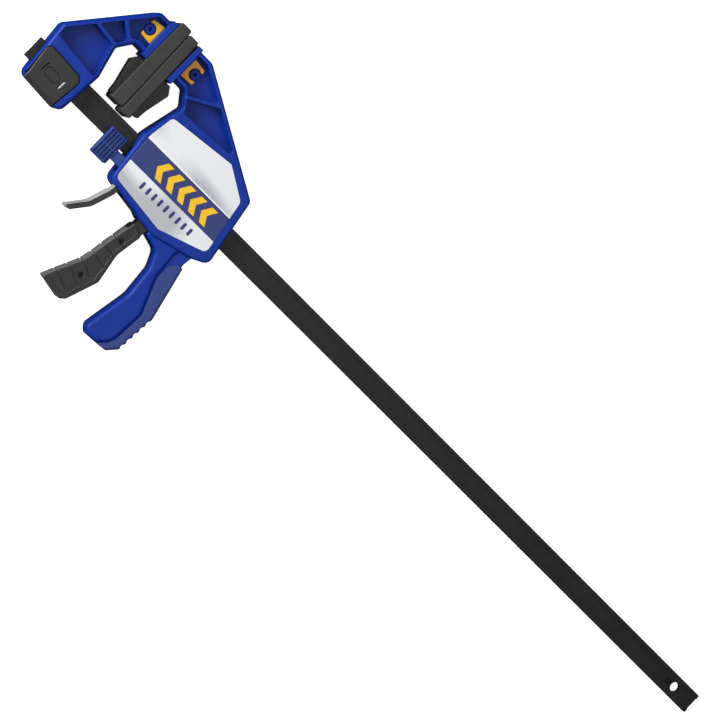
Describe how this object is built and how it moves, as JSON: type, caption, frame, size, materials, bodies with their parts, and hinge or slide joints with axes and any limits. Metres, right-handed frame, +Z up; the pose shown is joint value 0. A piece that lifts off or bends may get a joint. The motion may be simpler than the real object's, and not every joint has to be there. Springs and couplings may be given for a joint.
{
  "type": "bar clamp",
  "caption": "One-handed trigger bar clamp: fixed jaw on a flat steel bar and a sliding pistol-grip head with release lever, clip-on pads and hang hole.",
  "frame": {"origin": "centre of the underside of the bounding box, with the clamp lying on its side", "axes": "+X along the bar from the fixed jaw to the hanging hole, +Y from the handle towards the jaw tips, +Z up through the clamp's thickness"},
  "size_m": [0.795, 0.2272, 0.03],
  "materials": {
    "bar_steel": "black oxide finish, satin",
    "black_steel": "black oxide",
    "blue_plastic": "glass-filled nylon, fine grain",
    "black_plastic": "moulded, satin",
    "fastener_steel": "plain steel",
    "spring_steel": "spring wire",
    "pad_rubber": "soft non-marring pad",
    "pad_core": "moulded, matt",
    "yellow_plastic": "moulded",
    "orange_plastic": "moulded",
    "label_metal": "brushed, thin sheet",
    "grip_rubber": "soft grip, fine texture",
    "yoke_steel": "dark steel",
    "plate_steel": "hardened steel",
    "lever_steel": "satin nickel plate",
    "cap_plastic": "moulded"
  },
  "bodies": {
    "bar_and_fixed_jaw": {"bar": "bar_steel", "stop_pin": "black_steel", "fixed_jaw": "blue_plastic", "fixed_pad_face": "pad_rubber", "fixed_pad_core": "pad_core", "fixed_pad_clip": "yellow_plastic", "latch_spring": "spring_steel"},
    "jaw_button": {"push_button": "black_plastic", "latch_pin": "fastener_steel"},
    "sliding_head": {"head_shell_front": "blue_plastic", "head_shell_back": "blue_plastic", "shell_screws": "fastener_steel", "label_front": "label_metal", "label_back": "label_metal", "handle_grip": "grip_rubber", "moving_pad_face": "pad_rubber", "moving_pad_core": "pad_core", "moving_pad_clip": "orange_plastic", "trigger_pivot_pin": "fastener_steel", "lever_pivot_pin": "fastener_steel", "drive_spring": "spring_steel", "brake_spring": "spring_steel"},
    "trigger": {"trigger_yoke": "yoke_steel", "trigger_grip_front": "black_plastic", "trigger_grip_back": "black_plastic", "trigger_screws": "black_steel"},
    "drive_plates": {"drive_plate_front": "plate_steel", "drive_plate_rear": "plate_steel"},
    "brake_lever": {"release_lever": "lever_steel", "thumb_cap": "cap_plastic"}
  },
  "joints": [
    {"name": "head_slide", "type": "slide", "parent": "bar_and_fixed_jaw", "child": "sliding_head", "axis": [1, 0, 0], "range_m": [0, 0.544]},
    {"name": "button_press", "type": "slide", "parent": "bar_and_fixed_jaw", "child": "jaw_button", "axis": [0, 0, -1], "range_m": [0, 0.003], "stiffness_N_per_m": 900, "springref_m": -0.003, "deforming": ["latch_spring"]},
    {"name": "trigger_squeeze", "type": "hinge", "parent": "sliding_head", "child": "trigger", "pos_m": [-0.2365, 0.0396, 0.015], "axis": [0, 0, 1], "range_deg": [0, 10], "stiffness_Nm_per_rad": 3, "springref_deg": -8.59},
    {"name": "plate_push", "type": "slide", "parent": "sliding_head", "child": "drive_plates", "axis": [1, 0, 0], "range_m": [0, 0.006], "deforming": ["drive_spring"]},
    {"name": "brake_release", "type": "hinge", "parent": "sliding_head", "child": "brake_lever", "pos_m": [-0.2689, 0.0396, 0.015], "axis": [0, 0, 1], "range_deg": [0, 6], "stiffness_Nm_per_rad": 3, "springref_deg": -8.59, "deforming": ["brake_spring"]}
  ],
  "couplings": [
    {"joint": "plate_push", "follows": "trigger_squeeze", "m_per_rad": 0.0335}
  ]
}
